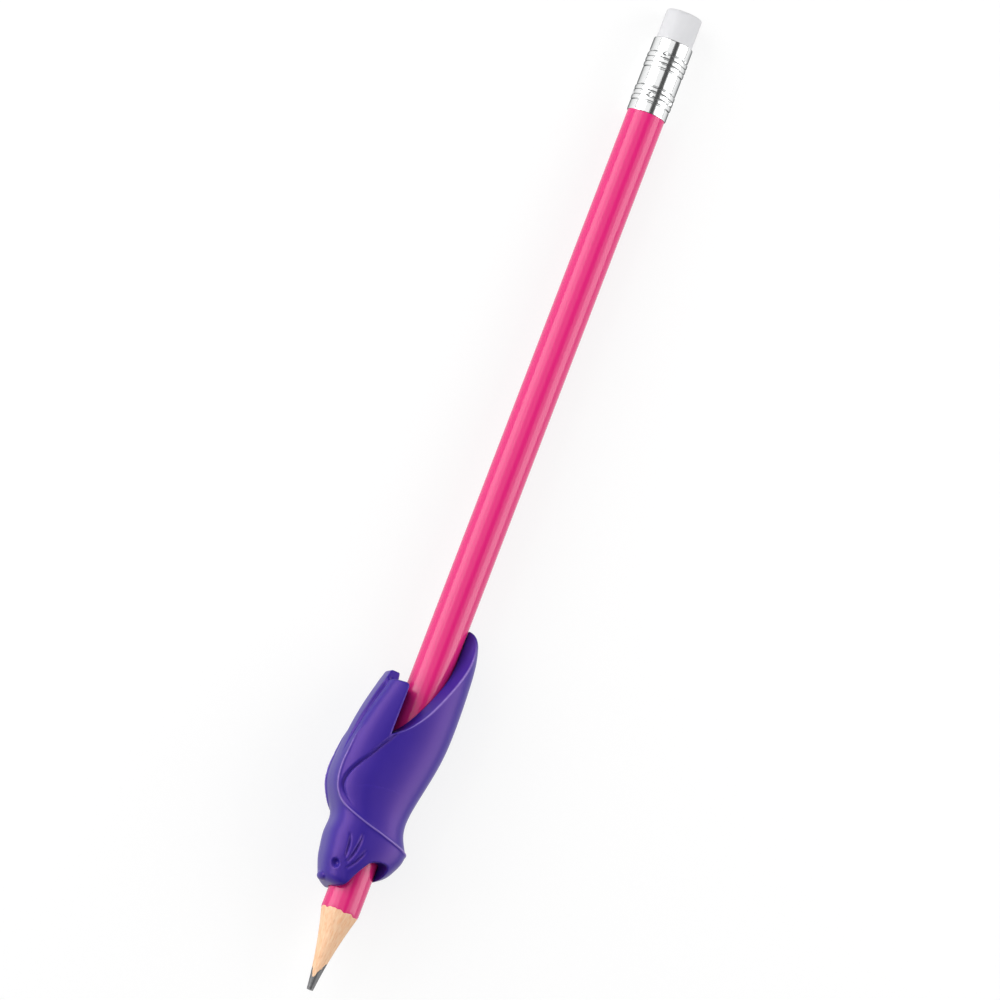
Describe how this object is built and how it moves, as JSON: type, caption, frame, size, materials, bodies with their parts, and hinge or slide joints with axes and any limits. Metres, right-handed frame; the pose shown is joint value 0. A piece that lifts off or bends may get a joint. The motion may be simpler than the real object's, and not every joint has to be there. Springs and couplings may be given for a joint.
{
  "type": "pencil with animal grip",
  "caption": "Soft moulded animal-shaped finger grip on a round lacquered pencil with a sharpened point, a rolled metal ferrule and an eraser.",
  "frame": {"origin": "centre of the blunted writing tip, on the pencil's axis", "axes": "+X along the pencil from the writing tip to the eraser, +Y to the animal's front, where its nose and ears are, +Z out of one flank"},
  "size_m": [0.19, 0.0186, 0.0128],
  "materials": {
    "graphite": "burnished",
    "cedar": "cut",
    "lacquer": "gloss",
    "aluminium": "bright rolled",
    "eraser_rubber": "matt",
    "grip_elastomer": "satin"
  },
  "bodies": {
    "pencil": {"graphite_core": "graphite", "casing_half_upper": "cedar", "casing_half_lower": "cedar", "lacquer_coat": "lacquer", "ferrule": "aluminium", "eraser": "eraser_rubber"},
    "grip": {"grip": "grip_elastomer"}
  },
  "joints": [
    {"name": "grip_slide", "type": "slide", "parent": "pencil", "child": "grip", "axis": [1, 0, 0], "range_m": [-0.075, 0.099]}
  ]
}
